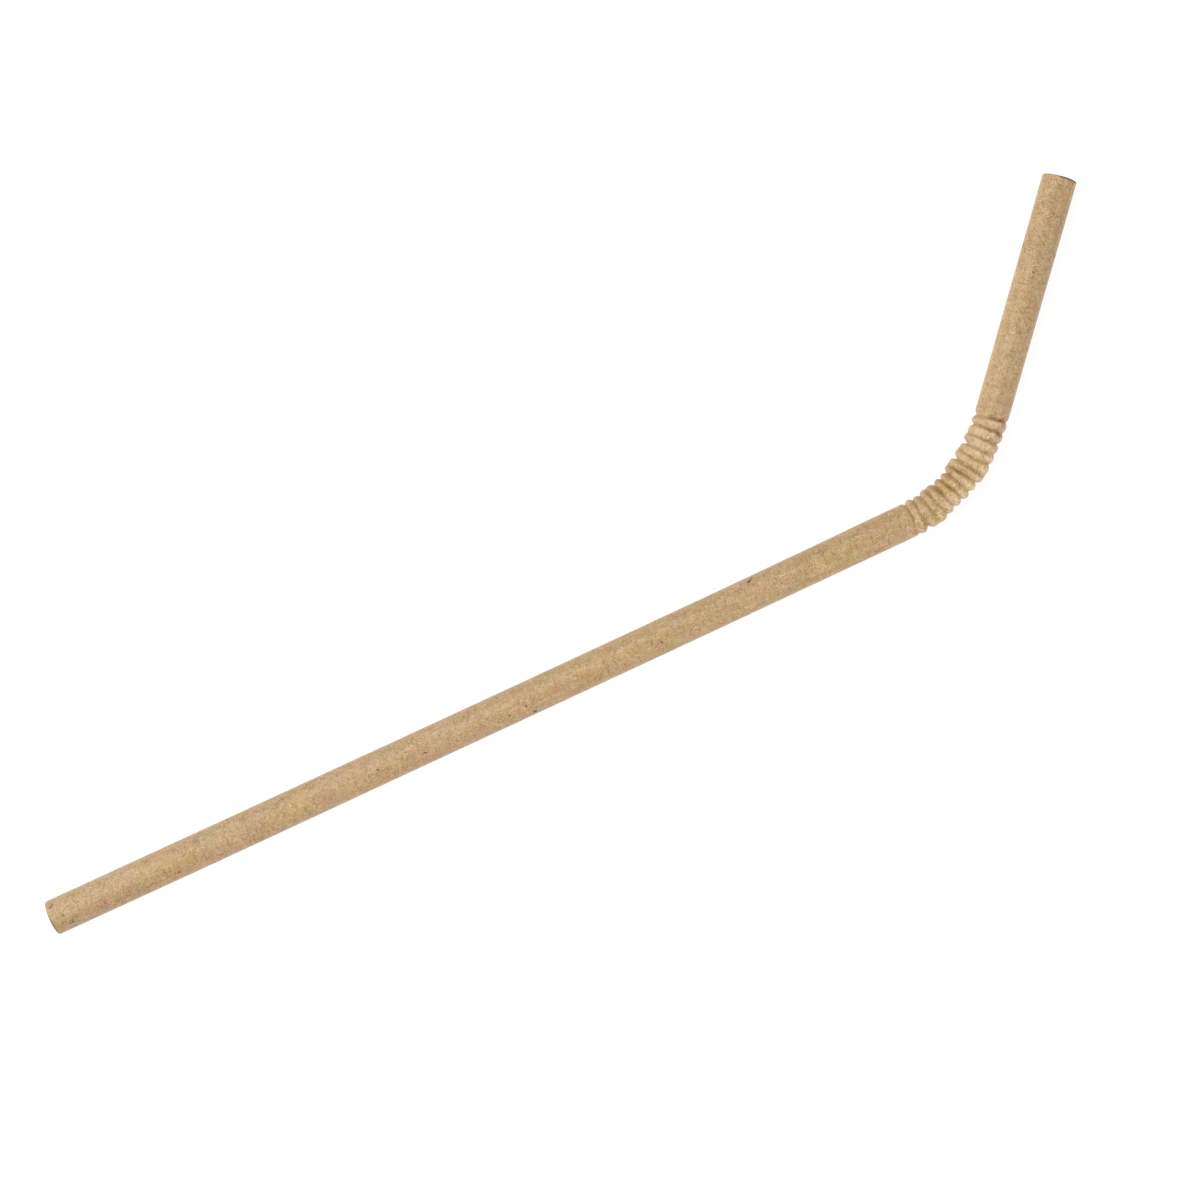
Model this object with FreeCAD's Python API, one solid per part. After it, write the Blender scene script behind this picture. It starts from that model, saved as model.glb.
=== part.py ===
import FreeCAD, Part
import math
import os

# Bendy paper straw, wound from strips of kraft paper and crimped into a short
# corrugated zone, lying on its side with the bend in the horizontal plane.
#
# Frame: millimetres, +Z up. The long limb runs along +X, the short limb turns
# towards +Y. The origin is under the middle of the straw's bounding box, on
# the surface that it lies on.

# ---------------------------------------------------------------- dimensions
tube_od = 6.00            # outside diameter of both limbs
wall = 0.42               # three plies of paper with their glue
foot_to_corner = 171.60   # foot end to the point where the limb axes cross
corner_to_mouth = 55.50   # that point to the mouth end
bend_deg = 49.10          # turn of the short limb from the long one
bend_tangent = 13.10      # from the axes' crossing to where the bend starts
crimp_end = 25.90         # end of the crimped zone along the centre line
flank_part = 0.25         # a ring's flank lies this part of its width from a groove
flank_rise = 0.72         # and has risen this part of the groove's depth
flank_wall = 0.50         # radial wall on a flank, where the paper runs aslant
shoulder = 0.03           # how far a limb has drawn in beside the first and last groove

# Grooves: (place along the centre line from the start of the bend,
#           half width across the bend, half height, shift to the bend's inside)
grooves = [
    (2.49, 2.71, 2.62, -0.08),
    (4.15, 2.61, 2.50, 0.03),
    (5.78, 2.78, 2.46, -0.22),
    (7.65, 2.78, 2.48, 0.08),
    (9.20, 2.50, 2.44, -0.04),
    (10.80, 2.46, 2.42, -0.04),
    (12.40, 2.50, 2.42, -0.06),
    (14.20, 2.80, 2.32, 0.22),
    (15.74, 2.78, 2.44, -0.24),
    (17.66, 2.90, 2.50, 0.10),
    (19.26, 2.52, 2.46, -0.10),
    (21.02, 2.70, 2.48, 0.14),
    (22.84, 2.58, 2.46, -0.02),
    (24.72, 2.60, 2.50, -0.01),
]
# Rings between them: (half width across the bend, half height, shift inwards)
rings = [
    (3.08, 2.97, 0.00),
    (3.02, 2.97, -0.03),
    (3.10, 2.97, -0.05),
    (3.00, 2.97, 0.00),
    (2.94, 2.97, 0.00),
    (2.96, 2.97, -0.04),
    (3.02, 2.97, 0.00),
    (3.14, 2.97, 0.02),
    (3.18, 2.97, 0.02),
    (3.06, 2.97, 0.04),
    (3.08, 2.97, 0.08),
    (3.03, 2.97, 0.08),
    (3.02, 2.97, 0.06),
]

# ---------------------------------------------------------------- centre line
tube_r = tube_od / 2.0
bend = math.radians(bend_deg)
bend_r = bend_tangent / math.tan(bend / 2.0)
arc_len = bend_r * bend
long_straight = foot_to_corner - bend_tangent
short_straight = corner_to_mouth - bend_tangent
UP = FreeCAD.Vector(0, 0, 1)


def centre(s):
    """Point on the centre line and its direction. s is 0 where the bend starts."""
    if s <= 0:
        return FreeCAD.Vector(s, 0, tube_r), FreeCAD.Vector(1, 0, 0)
    turn = min(s, arc_len) / bend_r
    along = FreeCAD.Vector(math.cos(turn), math.sin(turn), 0)
    point = FreeCAD.Vector(bend_r * math.sin(turn), bend_r * (1 - math.cos(turn)), tube_r)
    return point + along * max(s - arc_len, 0.0), along


# ------------------------------------------------------- sections of the crimp
# Each is (s, half width, half height, shift inwards, radial wall).
sections = [
    (0.0, tube_r, tube_r, 0.0, wall),
    (0.7, tube_r - shoulder / 4, tube_r - shoulder / 4, 0.0, wall),
    (1.4, tube_r - shoulder, tube_r - shoulder, 0.0, wall),
]
before = (tube_r, tube_r, 0.0)
last_s = grooves[0][0] - 1.6
for i, groove in enumerate(grooves):
    s, a, b, e = groove
    after = rings[i] if i < len(rings) else (tube_r, tube_r, 0.0)
    next_s = grooves[i + 1][0] if i + 1 < len(grooves) else s + 1.6
    sections.append(
        (
            s - flank_part * (s - last_s),
            a + flank_rise * (before[0] - a),
            b + flank_rise * (before[1] - b),
            e + flank_rise * (before[2] - e),
            flank_wall,
        )
    )
    sections.append((s, a, b, e, wall))
    sections.append(
        (
            s + flank_part * (next_s - s),
            a + flank_rise * (after[0] - a),
            b + flank_rise * (after[1] - b),
            e + flank_rise * (after[2] - e),
            flank_wall,
        )
    )
    if i < len(rings):
        sections.append(((s + next_s) / 2.0, after[0], after[1], after[2], wall))
    before, last_s = after, s
sections.append((crimp_end - 0.35, tube_r - shoulder, tube_r - shoulder, 0.0, wall))
sections.append((crimp_end, tube_r, tube_r, 0.0, wall))


def crimped_skin(inner):
    """The outer or inner skin of the crimped zone: ellipses carried smoothly along the centre line."""
    corners = ((1, 0), (1, 1), (0, 1), (-1, 1), (-1, 0), (-1, -1), (0, -1), (1, -1), (1, 0))
    places, columns = [], [[] for _ in corners]
    for s, a, b, e, thick in sections:
        point, along = centre(s)
        inwards = UP.cross(along)
        if inner:
            a, b = a - thick, b - thick
        places.append(s)
        for column, (x, z) in zip(columns, corners):
            column.append(point + inwards * (e + a * x) + UP * (b * z))
    first, last = centre(places[0])[1], centre(places[-1])[1]
    rows, knots, mults, degree = [], None, None, None
    for column in columns:
        curve = Part.BSplineCurve()
        curve.interpolate(
            Points=column,
            Parameters=places,
            InitialTangent=first,
            FinalTangent=last,
            Scale=False,
        )
        rows.append(curve.getPoles())
        knots, mults, degree = curve.getKnots(), curve.getMultiplicities(), curve.Degree
    weights = [1.0 if i % 2 == 0 else math.sqrt(0.5) for i in range(len(corners))]
    surface = Part.BSplineSurface()
    surface.buildFromPolesMultsKnots(
        [list(column) for column in zip(*rows)],
        mults,
        [3, 2, 2, 2, 3],
        knots,
        [0.0, 0.25, 0.5, 0.75, 1.0],
        False,
        False,
        degree,
        2,
        [weights] * len(rows[0]),
    )
    return surface.toShape()


def limb_skin(radius, start, along, length):
    """The curved face of a straight limb."""
    solid = Part.makeCylinder(radius, length, start, along)
    return [f for f in solid.Faces if isinstance(f.Surface, Part.Cylinder)][0]


def cut_end(point, along):
    """The flat ring of paper where a limb is cut off square."""
    outer = Part.Wire(Part.makeCircle(tube_r, point, along))
    inner = Part.Wire(Part.makeCircle(tube_r - wall, point, along))
    return Part.makeFace([outer, inner], "Part::FaceMakerBullseye")


foot, foot_dir = centre(-long_straight)
mouth, mouth_dir = centre(arc_len + short_straight)
crimp_stop, _ = centre(crimp_end)
short_clear = arc_len + short_straight - crimp_end

faces = [cut_end(foot, foot_dir), cut_end(mouth, mouth_dir)]
for inner in (False, True):
    radius = tube_r - wall if inner else tube_r
    faces.append(limb_skin(radius, foot, foot_dir, long_straight))
    faces.append(crimped_skin(inner))
    faces.append(limb_skin(radius, crimp_stop, mouth_dir, short_clear))

shell = Part.makeShell(faces)
shell.sewShape(1e-4)
straw = Part.makeSolid(shell if shell.ShapeType == "Shell" else shell.Shells[0])
if straw.Volume < 0:
    straw.reverse()

box = straw.optimalBoundingBox(False, False)
shift = FreeCAD.Vector(-(box.XMin + box.XMax) / 2, -(box.YMin + box.YMax) / 2, -box.ZMin)
straw.translate(shift)

os.makedirs("parts", exist_ok=True)
straw.exportStep("parts/straw_tube.step")

print("valid", straw.isValid(), "closed", straw.isClosed(), "solids", len(straw.Solids))
print("faces", len(straw.Faces), "volume", round(straw.Volume, 2), "mm3")
print("foot end", [round(v, 4) for v in foot + shift])
print("mouth end", [round(v, 4) for v in mouth + shift], "along", [round(v, 6) for v in mouth_dir])
print("axes cross", [round(v, 4) for v in FreeCAD.Vector(bend_tangent, 0, tube_r) + shift])
print("bend radius", round(bend_r, 3), "arc", round(arc_len, 3), "short clear", round(short_clear, 3))
print("box", straw.optimalBoundingBox(False, False))
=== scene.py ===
import math

import bpy
import numpy as np
from mathutils import Matrix, Vector


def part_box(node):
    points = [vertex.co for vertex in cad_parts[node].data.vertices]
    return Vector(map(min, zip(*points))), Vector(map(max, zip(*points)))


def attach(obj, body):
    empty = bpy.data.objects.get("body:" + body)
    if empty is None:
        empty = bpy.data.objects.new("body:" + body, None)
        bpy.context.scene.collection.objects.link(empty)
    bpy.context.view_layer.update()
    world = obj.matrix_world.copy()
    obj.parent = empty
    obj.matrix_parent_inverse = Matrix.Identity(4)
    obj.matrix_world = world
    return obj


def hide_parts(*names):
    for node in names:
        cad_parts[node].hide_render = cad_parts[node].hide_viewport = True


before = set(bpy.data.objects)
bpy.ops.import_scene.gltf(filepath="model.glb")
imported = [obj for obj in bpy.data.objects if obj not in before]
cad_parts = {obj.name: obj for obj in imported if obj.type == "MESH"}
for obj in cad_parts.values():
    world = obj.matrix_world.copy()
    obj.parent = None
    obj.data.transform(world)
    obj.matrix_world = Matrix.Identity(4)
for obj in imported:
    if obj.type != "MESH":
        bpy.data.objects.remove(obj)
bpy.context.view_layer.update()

# ------------------------------------------------------------------ the frame
# Everything below is worked out in millimetres along the straw and written in metres.
low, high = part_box("straw_tube")
R0 = 3.0                                   # outside radius of the limbs
WALL = 0.42                                # three plies and their glue
LONG = 158.5                               # straight part of the long limb
TANGENT = 13.10
TURN = math.radians(49.10)
BEND_R = TANGENT / math.tan(TURN / 2)
ARC = BEND_R * TURN
SHORT = 42.40                              # straight part of the short limb
ORIGIN = np.array([low.x * 1e3 + LONG, low.y * 1e3 + R0, (low.z + high.z) * 500.0])
S_FOOT, S_MOUTH = -LONG, ARC + SHORT
LEAD = 22.6                                # the outer ply goes once round in this length
SEAM_AT = -2.6                             # where its seam crosses the top
STRIP = 2 * math.pi * R0 * LEAD / math.hypot(2 * math.pi * R0, LEAD)  # the ply's width


# The straw isn't quite true: place along it, then half height, half width and how far its
# middle lies to the bend's inside of the straight line.
SHAPE = np.array([
    (-158.5, 2.986, 3.030, 0.180),
    (-151.0, 2.986, 3.034, 0.143),
    (-138.0, 2.987, 3.040, 0.074),
    (-124.0, 2.988, 3.027, 0.030),
    (-111.0, 2.990, 3.004, 0.007),
    (-97.0, 2.990, 2.981, -0.016),
    (-83.0, 2.990, 2.964, -0.033),
    (-70.0, 2.990, 2.954, -0.043),
    (-56.0, 2.990, 2.949, -0.047),
    (-43.0, 2.990, 2.952, -0.040),
    (-29.0, 2.990, 2.955, -0.008),
    (-15.0, 2.990, 2.969, 0.048),
    (-2.0, 2.990, 3.012, 0.124),
    (8.0, 2.990, 2.995, 0.110),
    (20.0, 2.990, 2.955, 0.055),
    (30.0, 2.990, 2.934, 0.038),
    (43.0, 2.988, 2.946, 0.033),
    (53.0, 2.988, 2.968, 0.028),
    (67.0, 2.988, 2.977, 0.028),
])


def smooth(x):
    x = np.clip(x, 0.0, 1.0)
    return x * x * (3 - 2 * x)


def shape(s, column):
    """A value that passes smoothly through one column of SHAPE."""
    knots, v = SHAPE[:, 0], SHAPE[:, column]
    slope = np.gradient(v, knots)
    i = np.clip(np.searchsorted(knots, s, side="right") - 1, 0, len(knots) - 2)
    h = knots[i + 1] - knots[i]
    t = np.clip((s - knots[i]) / h, 0, 1)
    return (
        v[i] * (1 + 2 * t) * (1 - t) ** 2
        + slope[i] * h * t * (1 - t) ** 2
        + v[i + 1] * t * t * (3 - 2 * t)
        + slope[i + 1] * h * t * t * (t - 1)
    )


def spine(s):
    """Centre line: points and the direction to the inside of the bend, for an array of places."""
    s = np.asarray(s, float)
    turn = np.clip(s, 0, ARC) / BEND_R
    past = np.maximum(s - ARC, 0)
    x = np.where(s < 0, s, BEND_R * np.sin(turn) + past * np.cos(turn))
    y = np.where(s < 0, 0, BEND_R * (1 - np.cos(turn)) + past * np.sin(turn))
    inward = np.stack([-np.sin(turn), np.cos(turn), 0 * s], -1)
    along = np.stack([np.cos(turn), np.sin(turn), 0 * s], -1)
    point = np.stack([x, y, 0 * s], -1) + inward * shape(s, 3)[..., None]
    return point + ORIGIN, inward, along


# ------------------------------------------------------------------ the crimp
# Angle round the straw: 0 is the top, 90 degrees is the inside of the bend.
KNOTS = np.radians([-90.0, -30.0, 0.0, 30.0, 90.0, 180.0])
# Each groove: where it lies along the straw, then its radius, both at the knots
# (outside, 30 degrees from the top, top, 30 degrees the other way, inside, underneath).
GROOVES = [
    ((2.30, 2.07, 2.32, 2.34, 2.47, 2.38), (2.82, 2.74, 2.75, 2.83, 2.52, 2.66)),
    ((4.00, 3.94, 3.90, 4.07, 4.17, 4.09), (2.51, 2.60, 2.74, 2.80, 2.60, 2.60)),
    ((5.77, 5.54, 5.74, 5.80, 5.72, 5.74), (3.24, 2.60, 2.75, 2.73, 2.43, 2.62)),
    ((7.57, 7.34, 7.22, 7.32, 7.49, 7.53), (2.77, 2.58, 2.77, 2.73, 2.88, 2.60)),
    ((9.10, 8.87, 9.00, 9.12, 9.15, 9.12), (2.54, 2.60, 2.67, 2.68, 2.38, 2.50)),
    ((10.68, 10.64, 10.78, 10.72, 10.76, 10.72), (2.54, 2.56, 2.59, 2.71, 2.28, 2.48)),
    ((12.38, 12.14, 12.30, 12.42, 12.21, 12.32), (2.58, 2.58, 2.66, 2.73, 2.25, 2.50)),
    ((14.12, 13.84, 13.90, 13.82, 13.82, 14.02), (2.62, 2.56, 2.45, 2.60, 3.20, 2.45)),
    ((15.52, 15.44, 15.52, 15.48, 15.61, 15.65), (3.22, 2.55, 2.57, 2.71, 2.34, 2.55)),
    ((17.56, 17.20, 17.12, 17.08, 17.52, 17.52), (2.81, 2.52, 2.67, 2.71, 3.10, 2.50)),
    ((19.31, 18.90, 18.82, 18.84, 19.05, 19.18), (2.66, 2.46, 2.63, 2.78, 2.16, 2.50)),
    ((20.97, 20.76, 20.90, 20.80, 20.88, 20.92), (2.48, 2.44, 2.59, 2.80, 2.95, 2.52)),
    ((22.79, 22.70, 22.72, 22.88, 22.71, 22.75), (2.63, 2.36, 2.56, 2.79, 2.47, 2.50)),
    ((24.62, 24.56, 24.57, 24.60, 24.66, 24.64), (2.65, 2.38, 2.53, 2.80, 2.58, 2.55)),
]
# Each ring between two grooves: its radius, then where its crest lies across it, at the same knots.
RINGS = [
    ((3.15, 3.02, 2.98, 2.99, 3.15, 2.98), (0.50, 0.60, 0.55, 0.60, 0.50, 0.50)),
    ((3.30, 3.04, 2.97, 2.95, 2.89, 2.98), (0.55, 0.56, 0.60, 0.38, 0.50, 0.50)),
    ((3.31, 3.06, 2.97, 2.97, 3.03, 2.98), (0.45, 0.64, 0.42, 0.38, 0.45, 0.50)),
    ((3.06, 2.98, 2.96, 2.95, 2.93, 2.98), (0.50, 0.66, 0.62, 0.34, 0.32, 0.50)),
    ((3.04, 2.96, 2.94, 2.92, 2.87, 2.98), (0.50, 0.68, 0.54, 0.38, 0.50, 0.50)),
    ((3.16, 2.98, 2.94, 2.90, 2.80, 2.97), (0.50, 0.50, 0.45, 0.44, 0.50, 0.50)),
    ((3.13, 2.98, 2.95, 2.97, 3.12, 2.98), (0.50, 0.60, 0.48, 0.38, 0.55, 0.50)),
    ((3.29, 3.02, 2.97, 3.00, 3.20, 2.98), (0.50, 0.56, 0.44, 0.44, 0.50, 0.50)),
    ((3.27, 3.04, 2.98, 3.02, 3.20, 2.98), (0.50, 0.62, 0.50, 0.62, 0.50, 0.50)),
    ((3.06, 2.99, 2.98, 2.99, 3.08, 2.98), (0.50, 0.58, 0.60, 0.54, 0.45, 0.50)),
    ((3.01, 2.97, 2.97, 3.01, 3.18, 2.98), (0.50, 0.62, 0.55, 0.60, 0.50, 0.50)),
    ((2.96, 2.96, 2.97, 3.00, 3.10, 2.98), (0.50, 0.56, 0.62, 0.54, 0.50, 0.50)),
    ((2.99, 2.97, 2.97, 2.99, 3.08, 2.98), (0.50, 0.66, 0.66, 0.42, 0.50, 0.50)),
]
# How the rings are worn and painted with light and shade, by part of the crimp: how far that part reaches, then at
# the same knots how dark the far flank is made, partly rubbed and folded and partly painted shade, and how pale the
# near flank and crest are, partly wear and partly painted highlight.
FLANK_WEAR_AND_PAINTED_LIGHT = [
    (6.5, (0.20, 0.25, 0.20, 0.35, 0.20, 0.10), (0.40, 0.55, 0.40, 0.35, 0.25, 0.20)),
    (13.2, (0.25, 0.25, 0.40, 0.75, 0.55, 0.20), (1.00, 1.00, 0.50, 0.10, 0.10, 0.20)),
    (20.0, (0.25, 0.30, 0.40, 0.40, 0.25, 0.20), (0.95, 0.85, 0.75, 0.60, 0.40, 0.20)),
    (27.0, (0.65, 0.70, 0.45, 0.30, 0.20, 0.25), (0.80, 0.90, 0.90, 0.85, 0.60, 0.20)),
]
# painted shade where the long limb folds down into the first groove
LIMB_EDGE_SHADE = (0.00, 0.00, 0.20, 0.50, 0.30, 0.00)  # the long limb's fold into the first groove


def around(psi, values):
    """A value that passes smoothly through those given at the knots, round the straw."""
    values = np.asarray(values, float)
    knots = np.append(KNOTS, KNOTS[0] + 2 * math.pi)
    v = np.append(values, values[0])
    gap, rise = np.diff(knots), np.diff(v)
    rate = rise / gap
    before = np.roll(rate, 1)
    gap_before = np.roll(gap, 1)
    slope = (rate * gap_before + before * gap) / (gap + gap_before)
    slope = np.append(slope, slope[0])
    p = np.mod(psi - knots[0], 2 * math.pi) + knots[0]
    i = np.clip(np.searchsorted(knots, p, side="right") - 1, 0, len(gap) - 1)
    h = gap[i]
    t = (p - knots[i]) / h
    return (
        v[i] * (1 + 2 * t) * (1 - t) ** 2
        + slope[i] * h * t * (1 - t) ** 2
        + v[i + 1] * t * t * (3 - 2 * t)
        + slope[i + 1] * h * t * t * (t - 1)
    )


def ripple(rng, psi, amount, first=2, last=7):
    total = 0
    for m in range(first, last):
        total = total + rng.normal() * np.cos(m * psi + rng.uniform(0, 2 * math.pi)) / m ** 0.7
    return amount * total


def waves(rng, s, psi, amount, count, s_rate, turns):
    """Soft unevenness over the surface, periodic round the straw."""
    total = np.zeros(np.broadcast(s, psi).shape)
    for _ in range(count):
        m = rng.integers(0, turns + 1)
        w = rng.normal() * s_rate
        total += np.cos(m * psi + w * s + rng.uniform(0, 2 * math.pi))
    return amount * total / math.sqrt(count / 2)


def lobe(x, skew, power, round_=0.14):
    """0 in the grooves at x = 0 and 1, 1 on the crest between them."""
    x = np.clip(x, 0, 1) ** (math.log(0.5) / np.log(np.clip(skew, 0.15, 0.85)))
    s2 = np.sin(np.pi * x) ** 2
    return ((s2 + round_**2) ** (power / 2) - round_**power) / ((1 + round_**2) ** (power / 2) - round_**power)


def outer_radius(s, psi):
    """Outside radius of the straw, how deep in a groove each point lies, and how much darker or paler its colour is
    made, partly by wear and partly as painted shade and painted highlight.
    """
    rng = np.random.default_rng(7)
    s, psi = np.broadcast_arrays(np.asarray(s, float), np.asarray(psi, float))
    tube = shape(s, 1) + (shape(s, 2) - shape(s, 1)) * np.sin(psi) ** 2
    tube = tube + waves(rng, s, psi, 0.004, 24, 0.35, 4)
    at, deep = [], []
    for places, radii in GROOVES:
        at.append(around(psi, places) + ripple(rng, psi, 0.020))
        deep.append(around(psi, radii) + ripple(rng, psi, 0.022))
    radius, groove, wear_and_painted_light = tube.copy(), np.zeros_like(tube), np.zeros_like(tube)
    pale_wear_and_highlight = np.zeros_like(tube)
    power = 0.80 + 0.75 * np.cos(psi) ** 2
    wear_rng = np.random.default_rng(23)
    for i, (radii, skews) in enumerate(RINGS):
        dark, light = next(shade_and_wear[1:] for shade_and_wear in FLANK_WEAR_AND_PAINTED_LIGHT if GROOVES[i][0][2] < shade_and_wear[0])
        dark, light = np.array(dark) * wear_rng.uniform(0.8, 1.2), np.array(light) * wear_rng.uniform(0.9, 1.1)
        crest = around(psi, radii) + ripple(rng, psi, 0.008)
        skew = around(psi, skews)
        x = (s - at[i]) / (at[i + 1] - at[i])
        here = (x >= 0) & (x < 1)
        floor = deep[i] + (deep[i + 1] - deep[i]) * smooth(x)
        crest = np.maximum(crest, floor)
        up = lobe(x, skew, power)
        radius = np.where(here, floor + (crest - floor) * up, radius)
        groove = np.where(here, (1 - up) * np.clip((crest - floor) / 0.5, 0, 1), groove)
        down = (x - skew) / (1 - skew)
        # painted shade, partly real folding and rubbing: the far flank of each ring is darkened
        far_flank_shade_and_wear = around(psi, dark) * smooth(down / 0.45) * (1 - smooth((down - 0.88) / 0.12))
        wear_and_painted_light = np.where(here, far_flank_shade_and_wear, wear_and_painted_light)
        # painted highlight, partly real rubbing: the near flank and crest of each ring are paled
        wear_and_highlight = around(psi, light) * smooth((x + 0.05) / 0.25) * (1 - smooth((x - skew - 0.02) / 0.25))
        pale_wear_and_highlight = np.where(here, wear_and_highlight, pale_wear_and_highlight)
    for place, bottom, sign in ((at[0], deep[0], -1), (at[-1], deep[-1], 1)):
        x = (s - place) * sign / (0.75 + (0.3 * np.clip(np.sin(psi), 0, 1) if sign > 0 else 0))
        here = x >= 0
        up = lobe(np.clip(x, 0, 1) / 2, 0.5, 0.7)
        radius = np.where(here, bottom + (tube - bottom) * up, radius)
        groove = np.where(here & (x < 1), (1 - up) * np.clip((tube - bottom) / 0.5, 0, 1), groove)
        if sign < 0:
            # painted shade in the fold from the long limb into the first groove
            wear_and_painted_light = np.where(here & (x < 1), around(psi, LIMB_EDGE_SHADE) * (1 - up), wear_and_painted_light)
    zone = smooth((s - 1.6) / 1.2) * smooth((26.2 - s) / 1.2)
    radius = radius + zone * waves(rng, s, psi, 0.016, 60, 2.2, 7)
    radius = radius + zone * waves(rng, s, psi, 0.006, 60, 6.0, 20)
    # flatter above and below, where the straw would otherwise stand proud of its limbs
    upright = np.abs(np.cos(psi))
    limit = 2.992 / np.maximum(upright, 0.9)
    radius = np.where(upright > 0.9, np.minimum(radius, limit), radius)
    return radius, groove, np.clip(wear_and_painted_light, 0, 1) - np.clip(pale_wear_and_highlight, 0, 1)


# ------------------------------------------------------------------- the mesh
COLUMNS = 112
seam_gap = np.array([0.0, 0.035, 0.09, 0.20])  # millimetres from the seam
inner_part = np.linspace(0.20, 2 * math.pi * R0 - 0.20, COLUMNS - 5)
offsets = np.concatenate([seam_gap[:3], inner_part, 2 * math.pi * R0 - seam_gap[2:0:-1]])
column_angle = offsets / R0                # from the seam, the way that it winds
COLUMNS = len(column_angle)


def steps(a, b, size):
    return np.linspace(a, b, max(2, int(round((b - a) / size)) + 1))


rim = np.array([0.0, 0.006, 0.020, 0.045, 0.080, 0.130, 0.190, 0.30])
rows = np.unique(
    np.round(
        np.concatenate(
            [
                S_FOOT + rim,
                steps(S_FOOT + 0.6, 0.8, 0.62),
                steps(0.8, 26.3, 0.0775),
                steps(26.3, S_MOUTH - 0.6, 0.62),
                S_MOUTH - rim,
            ]
        ),
        6,
    )
)
inner_rows = np.unique(
    np.round(
        np.concatenate(
            [
                S_FOOT + rim[1:],
                steps(S_FOOT + 0.6, 0.8, 4.0),
                steps(0.8, 26.3, 0.22),
                steps(26.3, S_MOUTH - 0.6, 4.0),
                S_MOUTH - rim[1:],
            ]
        ),
        6,
    )
)


def rim_round(s, size=0.05, part=0.6):
    """How far a skin draws back beside a cut end."""
    gap = np.minimum(s - S_FOOT, S_MOUTH - s)
    x = np.clip(1 - gap / size, 0, 1)
    return size * part * (1 - np.sqrt(np.clip(1 - x * x, 0, 1)))


def skin(s, inner):
    """Points of one skin, its angle, groove depth, wear and painted light, and the direction along the straw, as
    (rows, columns, ...).
    """
    s = s[:, None]
    if inner:
        # The columns of the bore meet those of the skin at both ends, but run nearly straight between.
        winds = (S_MOUTH - S_FOOT) / LEAD
        turns = (S_FOOT - SEAM_AT) / LEAD + (winds - round(winds)) * (s - S_FOOT) / (S_MOUTH - S_FOOT)
    else:
        turns = (s - SEAM_AT) / LEAD
    psi = column_angle[None, :] + 2 * math.pi * turns
    radius, groove, wear_and_painted_light = outer_radius(s, psi)
    if inner:
        radius = radius - WALL - 0.06 * groove + rim_round(s)
    else:
        # The outer ply's two edges meet in a hairline gap, one edge a touch proud of the other.
        d = np.minimum(offsets, 2 * math.pi * R0 - offsets)[None, :]
        side = np.where(offsets < math.pi * R0, 1.0, -1.0)[None, :]
        lift = 0.012 * side * np.exp(-(d / 0.35) ** 2)
        gap = 0.030 * np.exp(-(d / 0.03) ** 2)
        radius = radius + lift - gap - 0.012 - rim_round(s, 0.24, 0.5)
    point, inward, along = spine(s)
    xyz = (
        point
        + inward * (radius * np.sin(psi))[..., None]
        + np.array([0, 0, 1.0]) * (radius * np.cos(psi))[..., None]
    )
    return xyz, psi, groove, wear_and_painted_light, along


def cut_back(psi, end, rng_seed):
    """How far the cut end stands back from square, in millimetres, at each angle."""
    rng = np.random.default_rng(rng_seed)
    rough = np.abs(ripple(rng, psi, 0.010, 3, 24))
    if end == "foot":
        return rough + 0.03 * (1 + np.sin(psi))
    return rough


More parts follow.
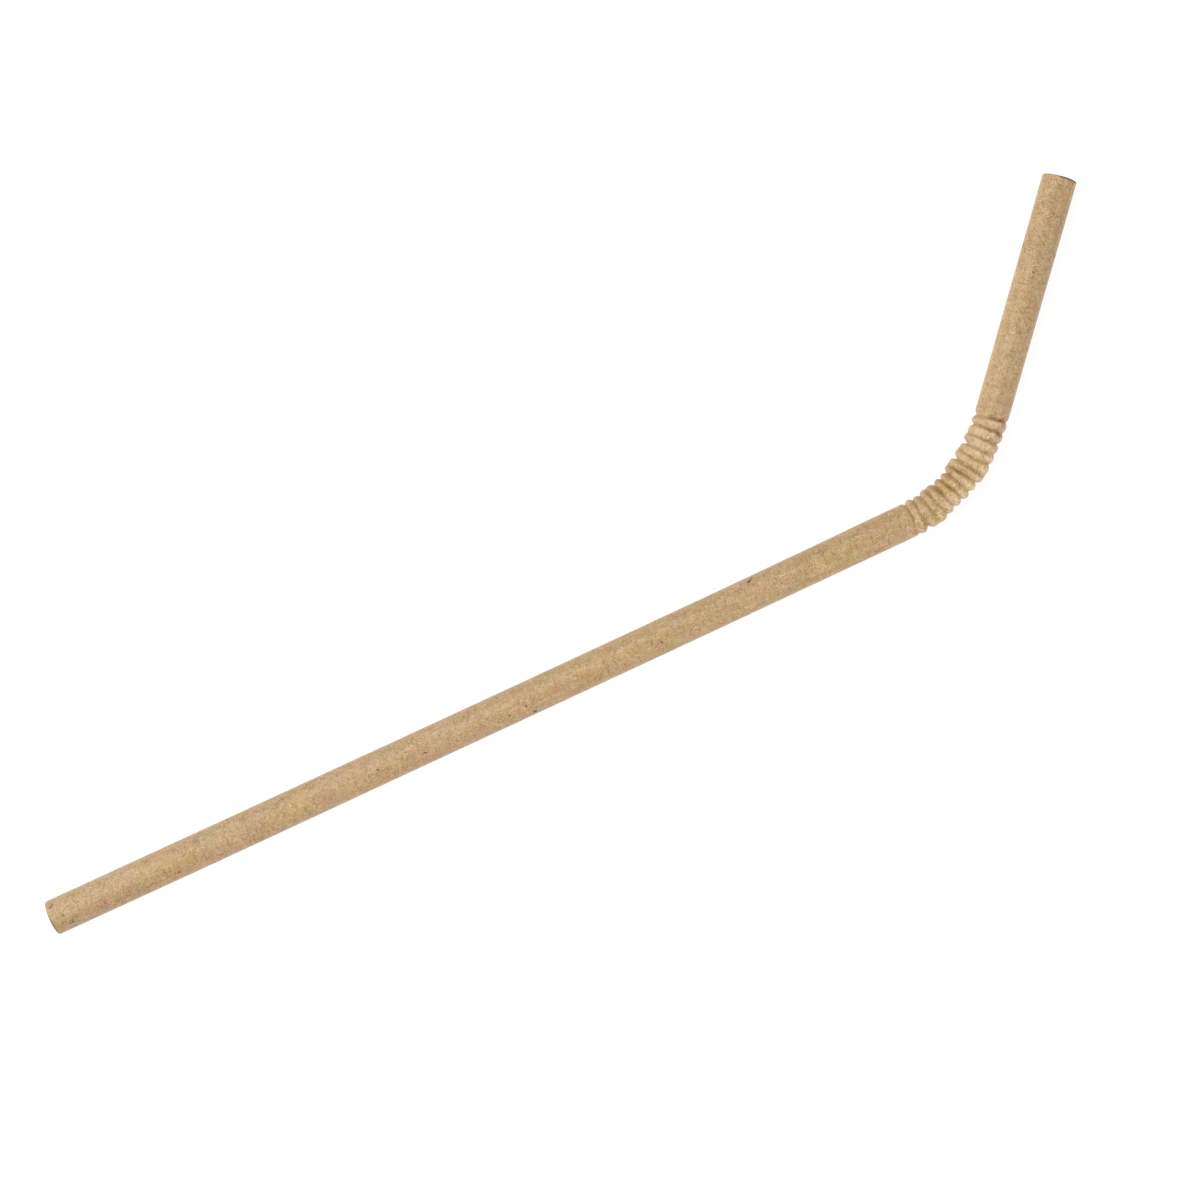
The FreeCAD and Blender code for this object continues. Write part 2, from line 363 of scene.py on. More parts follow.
def build_straw():
    verts_flat = []
    place, groove_at, wear_and_painted_light_at, edge_at = [], [], [], []

    def add_grid(xyz, psi, s, groove, wear_and_painted_light):
        start = len(verts_flat)
        verts_flat.extend(xyz.reshape(-1, 3))
        s_full = np.broadcast_to(s[:, None], psi.shape)
        place.append(np.stack([s_full, R0 * np.sin(psi), R0 * np.cos(psi)], -1).reshape(-1, 3))
        groove_at.append(groove.reshape(-1))
        wear_and_painted_light_at.append(wear_and_painted_light.reshape(-1))
        edge_at.append(np.zeros(psi.size))
        return start, xyz.shape[0]

    xyz_o, psi_o, groove_o, wear_and_painted_light_o, along_o = skin(rows, False)
    xyz_i, psi_i, groove_i, wear_and_painted_light_i, along_i = skin(inner_rows, True)
    for xyz, psi, s, along in ((xyz_o, psi_o, rows, along_o), (xyz_i, psi_i, inner_rows, along_i)):
        near_foot = smooth(1 - (s - S_FOOT) / 1.2)[:, None]
        near_mouth = smooth(1 - (S_MOUTH - s) / 1.2)[:, None]
        back = cut_back(psi, "foot", 3) * near_foot - cut_back(psi, "mouth", 4) * near_mouth
        xyz += along * back[..., None]
    outer_start, outer_n = add_grid(xyz_o, psi_o, rows, groove_o, wear_and_painted_light_o)
    inner_start, inner_n = add_grid(xyz_i, psi_i, inner_rows, groove_i, wear_and_painted_light_i * 0)

    # cut faces: rings from the outer edge to the inner one, with the ply lines pressed in
    across = np.array([0.04, 0.09, 0.13, 0.17, 0.22, 0.35, 0.50, 0.56, 0.60, 0.64, 0.70, 0.80, 0.90, 0.96])
    dip = np.array([0.0, 0.008, 0.030, 0.008, 0.0, 0.0, 0.0, 0.008, 0.030, 0.008, 0.0, 0.0, 0.0, 0.0])
    face_rings = {}
    for end, row_o, sign in (("foot", 0, 1.0), ("mouth", -1, -1.0)):
        outer_edge = xyz_o[row_o]
        psi = psi_o[row_o]
        rng = np.random.default_rng(11 if end == "foot" else 12)
        ring_starts = []
        s_here = rows[row_o]
        _, _, along = spine(np.array([s_here]))
        # The inner edge's column lies at another angle after a step of the helix, so both use the outer's angle.
        for t, d in zip(across, dip):
            rough = np.abs(ripple(rng, psi, 0.006, 5, 40))
            p = outer_edge + (inner_edge_at(end, psi) - outer_edge) * t
            p = p + along[0] * sign * (d + rough)[:, None]
            start = len(verts_flat)
            verts_flat.extend(p)
            place.append(np.stack([np.full_like(psi, s_here), (R0 - WALL * t) * np.sin(psi), (R0 - WALL * t) * np.cos(psi)], -1))
            groove_at.append(np.zeros_like(psi))
            wear_and_painted_light_at.append(np.zeros_like(psi))
            edge_at.append(np.full_like(psi, 1.0))
            ring_starts.append((start, t))
        face_rings[end] = ring_starts
    # wear_and_painted_light is positive where wear and painted shade darken the colour, negative where wear and
    # painted highlight pale it
    attributes = {"place": place, "crimp": groove_at, "wear_and_painted_light": wear_and_painted_light_at, "cut": edge_at}
    return verts_flat, attributes, (outer_start, outer_n), (inner_start, inner_n), face_rings


def inner_edge_at(end, psi):
    """Where the bore meets the cut, at the given angles."""
    s = S_FOOT if end == "foot" else S_MOUTH
    radius, _, _ = outer_radius(np.full_like(psi, s), psi)
    radius = radius - WALL + rim_round(np.array([s]))[0]
    point, inward, along = spine(np.array([s]))
    p = point + inward * (radius * np.sin(psi))[:, None] + np.array([0, 0, 1.0]) * (radius * np.cos(psi))[:, None]
    sign = 1.0 if end == "foot" else -1.0
    return p + along * (sign * cut_back(psi, end, 3 if end == "foot" else 4))[:, None]


verts_flat, attributes, outer, inner, face_rings = build_straw()
n = COLUMNS
faces, loop_paper = [], []

# Paper coordinates: u along the wound strip, v across it, in millimetres. They jump at the seam.
tan_lead = 2 * math.pi * R0 / LEAD
cos_a = 1 / math.hypot(1, tan_lead)
sin_a = tan_lead * cos_a
wrap = 2 * math.pi * R0


def paper_uv(s, off):
    """off is the distance from the seam round the straw, and s the place along it."""
    y = off + tan_lead * (s - SEAM_AT)
    return s * cos_a + y * sin_a, off * cos_a


def bore_uv(s, off):
    """The same for the bore, whose columns run along it; its own seam is drawn from the angle."""
    return s + 0.4 * off, 0.1 + off * (STRIP - 0.2) / wrap


def quads(start_a, s_a, start_b, s_b, side):
    """A band of quads between two rings of columns."""
    for j in range(n):
        k = (j + 1) % n
        off_j = offsets[j]
        off_k = offsets[k] if k else wrap
        quad = (start_a + j, start_b + j, start_b + k, start_a + k)
        at = bore_uv if side else paper_uv
        uv = (at(s_a, off_j), at(s_b, off_j), at(s_b, off_k), at(s_a, off_k))
        if side:
            quad, uv = quad[::-1], uv[::-1]
        faces.append(quad)
        loop_paper.extend((u, v, side * 40.0) for u, v in uv)


start, count = outer
for i in range(count - 1):
    quads(start + i * n, rows[i], start + (i + 1) * n, rows[i + 1], 0)
outer_first, outer_last = start, start + (count - 1) * n
start, count = inner
for i in range(count - 1):
    quads(start + i * n, inner_rows[i], start + (i + 1) * n, inner_rows[i + 1], 1)
inner_first, inner_last = start, start + (count - 1) * n


for end, ring_list in face_rings.items():
    chain = [outer_first if end == "foot" else outer_last] + [r for r, _ in ring_list]
    last = inner_first if end == "foot" else inner_last
    s_here = S_FOOT if end == "foot" else S_MOUTH
    turned = end == "mouth"
    for i, (a, b) in enumerate(zip(chain, chain[1:] + [last])):
        for j in range(n):
            k = (j + 1) % n
            off_j, off_k = offsets[j], offsets[k] if k else wrap
            quad = (a + j, a + k, b + k, b + j)
            uv = [
                (off_j * 1.3, i * 0.028 + 90.0, 80.0),
                (off_k * 1.3, i * 0.028 + 90.0, 80.0),
                (off_k * 1.3, (i + 1) * 0.028 + 90.0, 80.0),
                (off_j * 1.3, (i + 1) * 0.028 + 90.0, 80.0),
            ]
            if turned:
                quad, uv = quad[::-1], uv[::-1]
            faces.append(quad)
            loop_paper.extend(uv)

mesh = bpy.data.meshes.new("paper_straw")
points = np.array(verts_flat) / 1e3
mesh.from_pydata([tuple(p) for p in points], [], faces)
mesh.update()


def write_attribute(name, domain, kind, values):
    made = mesh.attributes.new(name, kind, domain)
    made.data.foreach_set("vector" if kind == "FLOAT_VECTOR" else "value", np.asarray(values, np.float32).ravel())


for name, values in attributes.items():
    write_attribute(name, "POINT", "FLOAT_VECTOR" if name == "place" else "FLOAT", np.concatenate(values))
write_attribute("paper", "CORNER", "FLOAT_VECTOR", np.array(loop_paper))
mesh.polygons.foreach_set("use_smooth", [True] * len(mesh.polygons))
straw = bpy.data.objects.new("paper_straw", mesh)
bpy.context.scene.collection.objects.link(straw)


# --------------------------------------------------------------- the material
class Nodes:
    """Short calls for building a shader tree."""

    def __init__(self, name):
        self.material = bpy.data.materials.new(name)
        self.material.use_nodes = True
        self.tree = self.material.node_tree
        self.tree.nodes.clear()

    def new(self, kind, **settings):
        node = self.tree.nodes.new(kind)
        for key, value in settings.items():
            setattr(node, key, value)
        return node

    def link(self, a, b):
        self.tree.links.new(a, b)

    def put(self, socket, value):
        if isinstance(value, bpy.types.NodeSocket):
            self.link(value, socket)
        else:
            socket.default_value = value

    def attribute(self, name, output="Vector"):
        return self.new("ShaderNodeAttribute", attribute_name=name).outputs[output]

    def math(self, op, a, b=0.0, c=0.0, clamp=False):
        node = self.new("ShaderNodeMath", operation=op, use_clamp=clamp)
        for socket, value in zip(node.inputs, (a, b, c)):
            self.put(socket, value)
        return node.outputs[0]

    def vector(self, op, a, b=(0, 0, 0), scale=None):
        node = self.new("ShaderNodeVectorMath", operation=op)
        self.put(node.inputs[0], a)
        if op == "SCALE":
            self.put(node.inputs["Scale"], scale)
        elif len(node.inputs) > 1:
            self.put(node.inputs[1], b)
        return node.outputs["Value" if op in ("LENGTH", "DISTANCE", "DOT_PRODUCT") else "Vector"]

    def mapping(self, vector, location=(0, 0, 0), rotation=(0, 0, 0), scale=(1, 1, 1)):
        node = self.new("ShaderNodeMapping", vector_type="POINT")
        self.put(node.inputs["Vector"], vector)
        node.inputs["Location"].default_value = location
        node.inputs["Rotation"].default_value = rotation
        node.inputs["Scale"].default_value = scale
        return node.outputs[0]

    def noise(self, vector, scale, detail=2.0, rough=0.5, distortion=0.0, output="Fac"):
        node = self.new("ShaderNodeTexNoise", noise_dimensions="3D")
        self.put(node.inputs["Vector"], vector)
        node.inputs["Scale"].default_value = scale
        node.inputs["Detail"].default_value = detail
        node.inputs["Roughness"].default_value = rough
        node.inputs["Distortion"].default_value = distortion
        return node.outputs[output]

    def spread(self, value, from_low, from_high, to_low=0.0, to_high=1.0, kind="SMOOTHSTEP"):
        node = self.new("ShaderNodeMapRange", interpolation_type=kind, clamp=True)
        self.put(node.inputs["Value"], value)
        for key, number in (("From Min", from_low), ("From Max", from_high), ("To Min", to_low), ("To Max", to_high)):
            self.put(node.inputs[key], number)
        return node.outputs[0]

    def mix(self, factor, a, b, blend="MIX"):
        node = self.new("ShaderNodeMix", data_type="RGBA", blend_type=blend, clamp_factor=True)
        self.put(node.inputs[0], factor)
        for socket, value in ((node.inputs[6], a), (node.inputs[7], b)):
            if not isinstance(value, bpy.types.NodeSocket) and len(value) == 3:
                value = (*value, 1.0)
            self.put(socket, value)
        return node.outputs[2]

    def bump(self, height, strength, distance, normal=None):
        node = self.new("ShaderNodeBump")
        node.inputs["Strength"].default_value = strength
        node.inputs["Distance"].default_value = distance
        self.put(node.inputs["Height"], height)
        if normal is not None:
            self.link(normal, node.inputs["Normal"])
        return node.outputs[0]


# Dark flecks: place along the straw, angle from the top, length, width, lie, darkness.
FLECKS = [
    (-157.41, 41.0, 0.58, 0.30, 42, 0.65),
    (-27.30, 48.0, 0.38, 0.32, 30, 1.00),
    (-26.75, 56.0, 0.46, 0.20, 48, 0.85),
    (-70.30, -20.0, 0.26, 0.20, 60, 0.90),
    (-69.35, -56.5, 0.40, 0.40, 0, 1.00),
    (-73.48, -25.5, 0.24, 0.18, 20, 0.80),
    (-45.00, -17.0, 0.34, 0.15, 115, 0.85),
    (-97.53, -3.5, 0.24, 0.18, 0, 0.80),
    (-155.10, -42.0, 0.22, 0.18, 0, 0.90),
    (-156.04, -5.5, 0.32, 0.16, 100, 0.65),
    (-89.05, -19.0, 0.42, 0.14, 150, 0.75),
    (-135.36, -38.0, 0.24, 0.20, 0, 0.80),
    (49.98, 3.8, 0.24, 0.17, 0, 0.85),
    (54.25, 80.0, 0.30, 0.32, 0, 0.90),
    (22.30, -45.0, 0.40, 0.55, 10, 0.45),
    (53.80, -65.0, 0.30, 0.34, 0, 0.95),
]


# Soft brown smudges on the crimp, partly where it has been pressed and rubbed and partly painted shade: place, angle,
# length, width, lie, amount.
BROWNED_AND_SHADED = [
    (2.30, 15, 0.25, 1.40, 0, 0.60),
    (5.45, 20, 0.50, 0.60, 0, 0.50),
    (6.95, 42, 0.55, 0.80, 0, 0.60),
    (7.60, -48, 0.30, 0.60, 0, 0.70),
    (8.75, 24, 0.80, 1.30, 0, 0.95),
    (10.40, 14, 0.60, 1.15, 0, 0.90),
    (11.95, 36, 0.80, 0.75, 0, 0.75),
    (13.65, 18, 0.50, 1.05, 0, 1.00),
    (15.10, -46, 0.35, 0.90, 0, 0.70),
    (15.50, -24, 0.30, 0.70, 0, 0.50),
    (22.25, -42, 0.50, 0.75, 0, 1.00),
    (24.52, -20, 0.26, 2.20, 0, 0.80),
    (5.40, 50, 2.80, 1.00, 0, 0.24),
    (10.90, 44, 3.00, 1.40, 0, 0.30),
]
# Pale places on the crimp, partly rubbed and partly painted highlight: place, angle, length, width, lie, amount.
PALED_AND_LIT = [
    (3.50, 8, 0.80, 0.90, 0, 0.60),
    (7.10, -25, 0.45, 1.00, 0, 0.60),
    (9.05, -30, 0.50, 0.90, 0, 0.65),
    (9.97, -30, 0.60, 1.10, 0, 1.00),
    (11.52, -32, 0.60, 1.10, 0, 1.00),
    (13.07, -30, 0.60, 1.00, 0, 0.90),
    (16.72, -20, 0.85, 1.20, 0, 0.80),
    (18.37, 8, 0.65, 1.50, 0, 0.60),
    (19.97, 5, 0.65, 1.80, 0, 0.70),
    (21.52, 12, 0.65, 1.80, 0, 1.00),
    (23.37, 0, 0.55, 1.80, 0, 0.70),
    (10.05, -52, 0.70, 0.90, 0, 0.90),
    (11.60, -52, 0.70, 0.90, 0, 0.90),
    (13.10, -52, 0.70, 0.90, 0, 0.90),
    (14.70, -55, 0.55, 0.90, 0, 0.90),
    (16.60, -50, 0.85, 1.00, 0, 1.00),
    (18.35, -50, 0.80, 1.00, 0, 1.00),
]


KRAFT = (0.527, 0.346, 0.173)              # mean colour of the sheet
# How much each kind of unevenness lightens, darkens or tints it.
SHEET = {
    "slow": 0.09, "cloud": 0.22, "patch": 0.05, "mottle": 0.08, "grain": 0.80, "fine": 0.60,
    "light": 0.33, "dark": -0.33,
    "yellow_wide": 0.32, "yellow_near": 0.39, "green_wide": 0.17, "green_near": 0.30,
}


def kraft():
    g = Nodes("kraft_paper")
    place_at = g.attribute("place")
    along = g.new("ShaderNodeSeparateXYZ")
    g.link(place_at, along.inputs[0])
    sheet = g.attribute("paper")
    crimp = g.attribute("crimp", "Fac")
    # how much darker or paler each point is made, by wear and by painted shade and highlight
    wear_and_painted_light = g.attribute("wear_and_painted_light", "Fac")
    cut = g.attribute("cut", "Fac")

    def centred(value, amount):
        return g.math("MULTIPLY", g.math("SUBTRACT", value, 0.5), amount)

    def total(*values):
        out = values[0]
        for value in values[1:]:
            out = g.math("ADD", out, value)
        return out

    # cloudy formation of the sheet, from centimetres down to tenths of a millimetre
    slow = g.noise(place_at, 0.09, 1.0, 0.5)
    cloud = g.noise(place_at, 0.36, 1.0, 0.5, 0.3)
    patch = g.noise(place_at, 0.95, 1.0, 0.5, 0.4)
    mottle = g.noise(place_at, 1.90, 1.0, 0.5, 0.3)
    grain = g.noise(place_at, 3.4, 1.0, 0.55, 0.2)
    fine = g.noise(sheet, 6.2, 1.0, 0.6)
    # fibres, lying every way
    warp = g.vector("SCALE", g.noise(sheet, 1.1, 2.0, 0.5, 0.0, "Color"), scale=0.9)
    bent = g.vector("ADD", sheet, warp)
    strands = []
    for turn, seed in ((0.83, 0.0), (1.67, 31.0), (-0.70, 57.0), (0.08, 83.0)):
        lie = g.mapping(g.mapping(bent, rotation=(0, 0, turn)), (seed, seed * 0.7, 0), scale=(0.72, 5.4, 1.0))
        strands.append(g.noise(lie, 1.0, 1.0, 0.5, 0.15))
    light = g.spread(strands[0], 0.55, 0.72)
    light = g.math("MAXIMUM", light, g.spread(strands[1], 0.58, 0.75))
    dark = g.spread(strands[2], 0.55, 0.72)
    dark = g.math("MAXIMUM", dark, g.spread(strands[3], 0.58, 0.75))

    # the finest part is stronger in some places than in others
    uneven = g.spread(g.noise(place_at, 0.34, 1.0, 0.5, 0.2), 0.33, 0.67, 0.50, 1.50, "LINEAR")
    value = total(
        centred(slow, SHEET["slow"]),
        centred(cloud, SHEET["cloud"]),
        centred(patch, SHEET["patch"]),
        centred(mottle, SHEET["mottle"]),
        g.math("MULTIPLY", uneven, total(centred(grain, SHEET["grain"]), centred(fine, SHEET["fine"]))),
        g.math("MULTIPLY", light, SHEET["light"]),
        g.math("MULTIPLY", dark, SHEET["dark"]),
    )
    # the crimp shows it more on its outer side, and less on its inner side
    crimped = g.math("MULTIPLY", g.spread(along.outputs["X"], 1.0, 2.5), g.spread(along.outputs["X"], 26.2, 24.8))
    gain = g.spread(along.outputs["Y"], -1.2, 1.1, 0.50, -0.08, "LINEAR")
    value = g.math("MULTIPLY", value, g.math("ADD", 1.0, g.math("MULTIPLY", gain, crimped)))
    # painted light: rings are paler on the outside of the bend
    outside_painted_light = g.math("MULTIPLY", g.spread(along.outputs["X"], 7.0, 9.0), g.spread(along.outputs["X"], 21.5, 19.5))
    outside_painted_light = g.math("MULTIPLY", outside_painted_light, g.spread(along.outputs["Y"], -0.3, -1.9, 0.0, 0.085))
    # painted light: the short limb is palest beside the crimp, most on its inner side, fading to a little darker at
    # the mouth, and its sheet's unevenness is a little stronger; painted shade darkens the foot's outer side, and
    # painted light lifts its inner side a little
    value = total(
        outside_painted_light,
        g.math("MULTIPLY", value, g.spread(along.outputs["X"], 26.0, 32.0, 1.0, 1.12)),
        g.math(
            "MULTIPLY",
            g.math(
                "ADD",
                g.spread(along.outputs["X"], 24.5, 29.0, 0.0, 0.060),
                g.spread(along.outputs["X"], 28.0, 67.0, 0.0, -0.090, "LINEAR"),
            ),
            g.spread(along.outputs["Y"], -1.5, 2.0, 0.35, 1.3),
        ),
        g.math(
            "MULTIPLY",
            g.spread(along.outputs["X"], -152.0, -128.0, 1.0, 0.0),
            g.spread(along.outputs["Y"], 0.2, -1.6, 0.028, -0.095),
        ),
    )
    # painted highlight and shade: across the short limb, its inner side is paler and its middle darker than its outer
    # side
    inner_side_painted_light = g.math("ADD", g.spread(along.outputs["Y"], 0.3, 1.5, 0.0, 0.080), g.spread(along.outputs["Y"], -1.6, -0.5, 0.0, -0.045))
    value = g.math("ADD", value, g.math("MULTIPLY", inner_side_painted_light, g.spread(along.outputs["X"], 25.5, 29.0)))
    # what is lighter is paler too, and what is darker is browner
    lean = g.vector("ADD", g.vector("SCALE", (0.84, 1.0, 1.31), scale=value), (1.0, 1.0, 1.0))
    # here and there the sheet is a little yellower, greener or pinker, and it is browner towards the bend
    yellow = total(
        centred(g.noise(place_at, 0.20, 1.0, 0.5, 0.2), SHEET["yellow_wide"]),
        centred(g.noise(place_at, 1.25, 1.0, 0.5, 0.2), SHEET["yellow_near"]),
        g.spread(along.outputs["X"], -158.0, 0.0, -0.03, 0.03, "LINEAR"),
    )
    green = total(
        centred(g.noise(place_at, 0.24, 1.0, 0.5, 0.2), SHEET["green_wide"]),
        centred(g.noise(place_at, 0.80, 1.0, 0.5, 0.2), SHEET["green_near"]),
    )
    yellow = g.math("MULTIPLY", yellow, g.spread(along.outputs["X"], 26.0, 32.0, 1.0, 0.65))
    lean = g.vector("MULTIPLY", lean, g.vector("ADD", g.vector("SCALE", (0.10, 0.0, -1.0), scale=yellow), (1.0, 1.0, 1.0)))
    lean = g.vector("MULTIPLY", lean, g.vector("ADD", g.vector("SCALE", (-0.25, 0.75, -0.25), scale=green), (1.0, 1.0, 1.0)))
    color = g.vector("MULTIPLY", lean, KRAFT)

    # bark specks that any kraft sheet has
    cell = g.new("ShaderNodeTexVoronoi", feature="F1", distance="EUCLIDEAN")
    g.put(cell.inputs["Vector"], g.mapping(bent, scale=(0.8, 1.3, 1.0)))
    cell.inputs["Scale"].default_value = 0.62
    chance = g.new("ShaderNodeSeparateColor")
    g.link(cell.outputs["Color"], chance.inputs[0])
    size = g.spread(chance.outputs[0], 0.62, 1.0, 0.0, 0.13, "LINEAR")
    speck = g.spread(g.math("SUBTRACT", cell.outputs["Distance"], size), 0.0, -0.05)
    speck = g.math("MULTIPLY", speck, g.spread(chance.outputs[1], 0.2, 1.0, 0.25, 0.80))
    color = g.mix(speck, color, (0.190, 0.105, 0.050))

    jitter = g.vector("SUBTRACT", g.noise(place_at, 5.0, 2.0, 0.6, 0.0, "Color"), (0.5, 0.5, 0.5))
    torn = g.vector("ADD", place_at, g.vector("SCALE", jitter, scale=0.16))

    def spots(listed, outer_edge, inner_edge):
        """Fields at the listed places, each with its own size, lie and amount."""
        field = None
        for s, angle, length, width, lie, amount in listed:
            a = math.radians(angle)
            centre = (s, R0 * math.sin(a), R0 * math.cos(a))
            away = g.vector("SUBTRACT", torn, centre)
            # turn to the surface's own axes there: along the straw, round it, outwards
            round_ = (0.0, math.cos(a), -math.sin(a))
            lie = math.radians(lie)
            first = (math.cos(lie), math.sin(lie) * round_[1], math.sin(lie) * round_[2])
            second = (-math.sin(lie), math.cos(lie) * round_[1], math.cos(lie) * round_[2])
            x = g.math("DIVIDE", g.vector("DOT_PRODUCT", away, first), length)
            y = g.math("DIVIDE", g.vector("DOT_PRODUCT", away, second), width)
            z = g.math("DIVIDE", g.vector("LENGTH", away), max(length, width) * 3)
            r = g.math("ADD", g.math("MULTIPLY", x, x), g.math("MULTIPLY", y, y))
            r = g.math("ADD", r, g.math("POWER", z, 4.0))
            spot = g.spread(r, outer_edge, inner_edge, 0.0, amount)
            field = spot if field is None else g.math("MAXIMUM", field, spot)
        return field

    # the flecks that stand out
    color = g.mix(spots(FLECKS, 1.25, 0.55), color, (0.150, 0.075, 0.030))

    # painted shade: part of each cut edge, on the side facing away from the lamps, is darkened
    rim_shades = None
    round_at = g.math("ARCTAN2", along.outputs["Y"], along.outputs["Z"])
    for name, to_rim, middle, reach, wide, amount in (
        ("mouth", g.math("SUBTRACT", S_MOUTH, along.outputs["X"]), -0.95, 1.35, 0.38, 1.00),
        ("foot", g.math("SUBTRACT", along.outputs["X"], S_FOOT), -0.75, 1.10, 0.34, 0.75),
    ):
        near = g.spread(to_rim, wide, wide - 0.24)
        side = g.spread(g.math("ABSOLUTE", g.math("SUBTRACT", round_at, middle)), reach, reach - 0.45)
        rim_shade = g.math("MULTIPLY", g.math("MULTIPLY", near, side), amount)
        rim_shade = g.math("MULTIPLY", rim_shade, g.spread(patch, 0.36, 0.56, 0.72, 1.0))
        color = g.mix(rim_shade, color, (0.078, 0.044, 0.020))
        rim_shades = rim_shade if rim_shades is None else g.math("MAXIMUM", rim_shades, rim_shade)

    # the seam of the outer ply, and the dust that lies in it
    v = g.new("ShaderNodeSeparateXYZ")
    g.link(sheet, v.inputs[0])
    half = STRIP / 2
    off = g.math("SUBTRACT", half, g.math("ABSOLUTE", g.math("SUBTRACT", v.outputs["Y"], half)))
    line = g.spread(off, 0.075, 0.015)
    turn = g.math("SUBTRACT", g.math("DIVIDE", round_at, 2 * math.pi), g.math("DIVIDE", along.outputs["X"], LEAD))
    turn = g.math("ABSOLUTE", g.math("SUBTRACT", g.math("FRACT", g.math("ADD", turn, 20.37)), 0.5))
    bore_line = g.spread(g.math("MULTIPLY", turn, STRIP), 0.10, 0.03)
    bore = g.spread(v.outputs["Z"], 10.0, 30.0)
    line = g.math("ADD", g.math("MULTIPLY", line, g.math("SUBTRACT", 1.0, bore)), g.math("MULTIPLY", bore_line, bore))
    line = g.math("MULTIPLY", line, g.spread(g.noise(place_at, 1.3, 2.0, 0.6), 0.35, 0.70, 0.05, 0.30))
    line = g.math("MULTIPLY", line, g.spread(cut, 0.5, 0.4))
    color = g.mix(line, color, (0.230, 0.130, 0.062))

    # painted light makes the whole crimp a little lighter; painted shade browns the grooves, and the far flanks and
    # browned spots are browner, partly from wear and partly painted shade
    blotch = total(g.math("MULTIPLY", patch, 0.5), g.math("MULTIPLY", grain, 0.5))
    color = g.mix(crimped, color, g.vector("MULTIPLY", color, (1.03, 1.03, 1.03)))
    groove_shade_and_wear = g.math("MULTIPLY", g.spread(crimp, 0.35, 1.0), g.spread(along.outputs["Y"], -1.2, 1.2, 0.34, 0.18))
    shade_and_wear = g.math("MAXIMUM", wear_and_painted_light, 0.0)
    shade_and_wear = total(g.math("MULTIPLY", shade_and_wear, 0.8), g.math("MULTIPLY", spots(BROWNED_AND_SHADED, 1.8, 0.0), 0.7))
    shade_and_wear = g.math("MULTIPLY", shade_and_wear, g.spread(blotch, 0.36, 0.60, 0.50, 1.0))
    groove_shade_and_wear = g.math("MAXIMUM", groove_shade_and_wear, shade_and_wear)
    color = g.mix(groove_shade_and_wear, color, g.vector("MULTIPLY", color, (0.64, 0.50, 0.28)))
    # the near flanks, crests and pale spots are paler, partly from wear and partly painted highlight
    wear_and_highlight = g.math("MAXIMUM", g.math("MULTIPLY", wear_and_painted_light, -1.0), 0.0)
    wear_and_highlight = total(g.math("MULTIPLY", wear_and_highlight, 0.7), g.math("MULTIPLY", spots(PALED_AND_LIT, 1.8, 0.0), 0.6))
    wear_and_highlight = g.math("MULTIPLY", wear_and_highlight, g.spread(blotch, 0.40, 0.64, 1.0, 0.60))
    color = g.mix(wear_and_highlight, color, g.vector("MULTIPLY", color, (1.28, 1.41, 1.70)))

    # cut ends: raw edge of the plies
    raw = g.mix(g.spread(g.noise(sheet, 7.0, 3.0, 0.7), 0.35, 0.65), (0.400, 0.265, 0.145), (0.580, 0.420, 0.250))
    color = g.mix(g.math("MULTIPLY", cut, 0.85), color, raw)

    height = total(
        g.math("MULTIPLY", fine, 0.6),
        g.math("MULTIPLY", grain, 0.8),
        g.math("MULTIPLY", mottle, 0.8),
        g.math("MULTIPLY", g.math("SUBTRACT", light, dark), 0.5),
    )
    normal = g.bump(height, 0.6, 0.00004)

    shader = g.new("ShaderNodeBsdfPrincipled")
    g.link(color, shader.inputs["Base Color"])
    rough = g.spread(total(g.math("MULTIPLY", fine, 0.5), g.math("MULTIPLY", patch, 0.5)), 0.3, 0.7, 0.36, 0.43)
    g.link(g.math("MAXIMUM", rough, g.math("MULTIPLY", rim_shades, 0.8)), shader.inputs["Roughness"])
    g.link(normal, shader.inputs["Normal"])
    shader.inputs["Specular IOR Level"].default_value = 0.5
    out = g.new("ShaderNodeOutputMaterial")
    g.link(shader.outputs[0], out.inputs["Surface"])
    return g.material


straw.data.materials.append(kraft())
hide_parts("straw_tube")
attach(straw, "root")

# ------------------------------------------------------------------ the stage
bpy.ops.mesh.primitive_plane_add(size=6.0, location=(0, 0, 0))
floor = bpy.context.object
floor.name = "floor"
stage = Nodes("stage_white")
surface = stage.new("ShaderNodeBsdfPrincipled")
surface.inputs["Base Color"].default_value = (0.15, 0.15, 0.15, 1)
surface.inputs["Roughness"].default_value = 0.9
surface.inputs["Specular IOR Level"].default_value = 0.1
surface.inputs["Emission Color"].default_value = (1, 1, 1, 1)
surface.inputs["Emission Strength"].default_value = 0.90
out = stage.new("ShaderNodeOutputMaterial")
stage.link(surface.outputs[0], out.inputs["Surface"])
floor.data.materials.append(stage.material)

# a pale backdrop all round, which low views see and which sheds no light of its own
bpy.ops.mesh.primitive_uv_sphere_add(segments=96, ring_count=48, radius=2.9, location=(0, 0, 0))
backdrop = bpy.context.object
backdrop.name = "backdrop"
backdrop.data.polygons.foreach_set("use_smooth", [True] * len(backdrop.data.polygons))
around_it = Nodes("stage_backdrop")
glow = around_it.new("ShaderNodeEmission")
glow.inputs["Color"].default_value = (1, 1, 1, 1)
glow.inputs["Strength"].default_value = 0.90
out = around_it.new("ShaderNodeOutputMaterial")
around_it.link(glow.outputs[0], out.inputs["Surface"])
backdrop.data.materials.append(around_it.material)
for ray in ("diffuse", "glossy", "transmission", "volume_scatter", "shadow"):
    setattr(backdrop, "visible_" + ray, False)

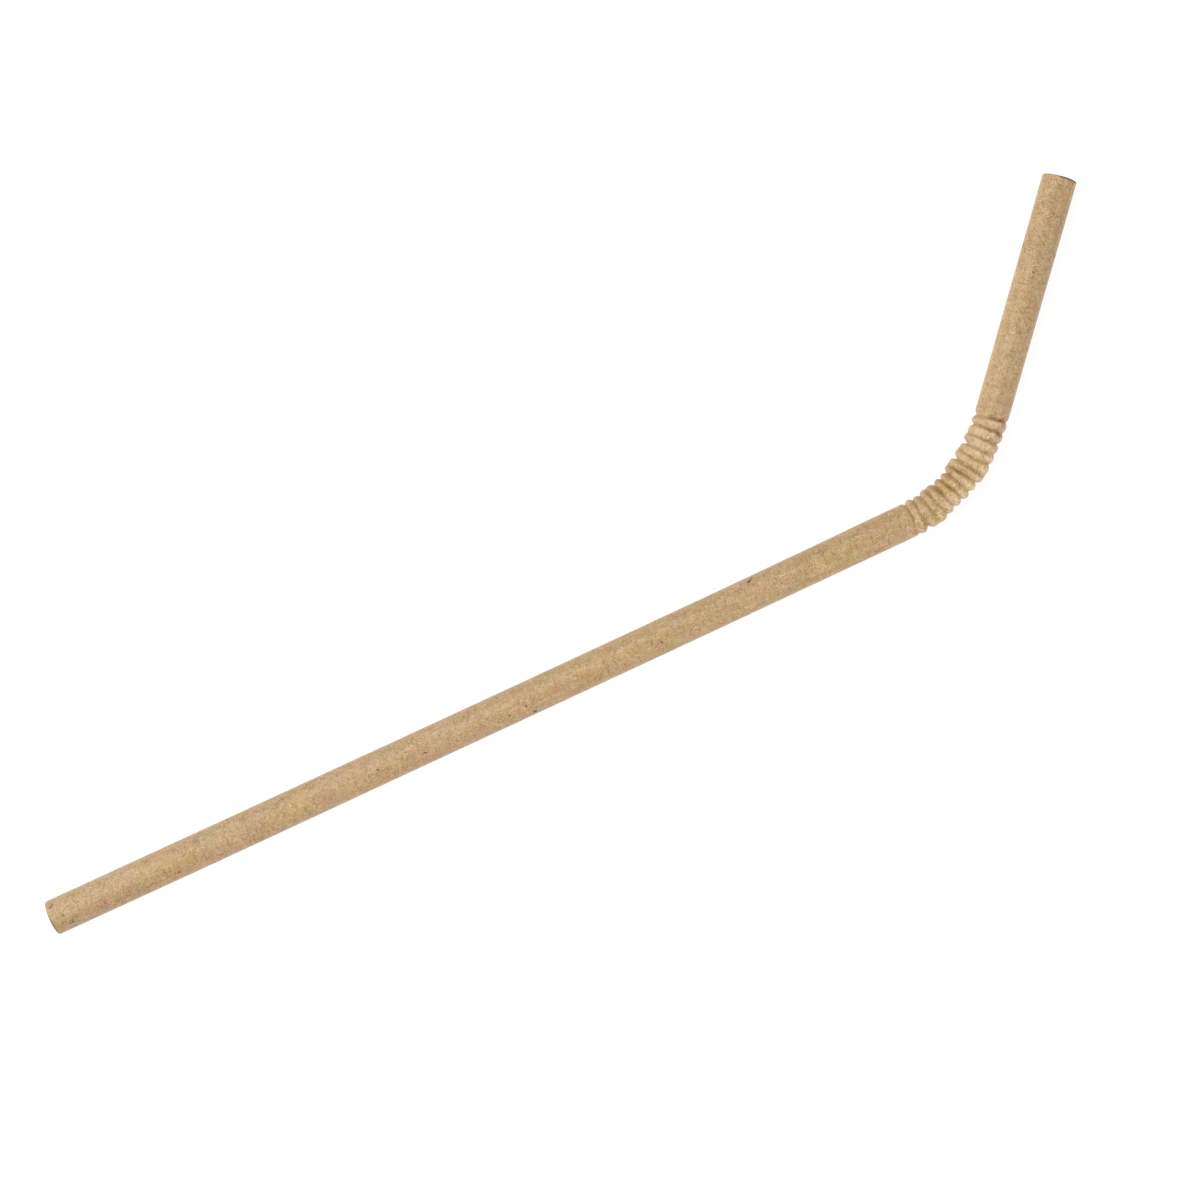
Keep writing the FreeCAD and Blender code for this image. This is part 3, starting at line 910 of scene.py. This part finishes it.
scene = bpy.context.scene
scene.view_settings.view_transform = "Standard"
world = bpy.data.worlds.new("studio")
scene.world = world
world.use_nodes = True
world.node_tree.nodes["Background"].inputs[0].default_value = (1.0, 1.0, 1.0, 1)
world.node_tree.nodes["Background"].inputs[1].default_value = 0.10

RIGHT = Vector((0.906963, -0.421210, 0))
UPWARD = Vector((0.421210, 0.906963, 0))


def area_light(name, right, up, height, size, power, across=None):
    """A soft lamp that faces the middle of the straw, with its first side along the long limb."""
    light = bpy.data.lights.new(name, "AREA")
    light.shape = "RECTANGLE"
    light.size = size
    light.size_y = across or size
    light.energy = power
    lamp = bpy.data.objects.new(name, light)
    where = RIGHT * right + UPWARD * up + Vector((0, 0, height))
    back = where.normalized()
    side = back.cross(Vector((1, 0, 0))).normalized()
    lamp.matrix_world = Matrix.Translation(where) @ Matrix((side.cross(back), side, back)).transposed().to_4x4()
    scene.collection.objects.link(lamp)
    return lamp


area_light("key", -0.20, 0.35, 0.80, 0.20, 2.00)
area_light("key_end", -0.635, -0.295, 0.50, 0.30, 3.00)
area_light("key_near", -0.25, -0.10, 0.40, 0.20, 0.28)
area_light("side", -0.50, 0.50, 0.45, 0.30, 1.60)
area_light("fill", 0.434, -0.460, 0.35, 0.60, 1.46, across=0.10)
area_light("fill_right", 0.45, 0.00, 0.40, 0.30, 0.78)

# ----------------------------------------------------------------- the camera
camera_data = bpy.data.cameras.new("camera")
camera_data.lens = 85.27
camera_data.sensor_width = 36.0
camera_data.clip_start = 0.01
camera_data.clip_end = 20.0
camera = bpy.data.objects.new("camera", camera_data)
corner = ORIGIN + np.array([TANGENT, 0, 0])
eye = Vector(((corner[0] - 64.58) / 1e3, (corner[1] + 9.97) / 1e3, (corner[2] + 482.5) / 1e3))
turned = Matrix((RIGHT, UPWARD, Vector((0, 0, 1)))).transposed().to_4x4()
camera.matrix_world = Matrix.Translation(eye) @ turned @ Matrix.Rotation(-0.00025, 4, "Z")
scene.collection.objects.link(camera)
scene.camera = camera
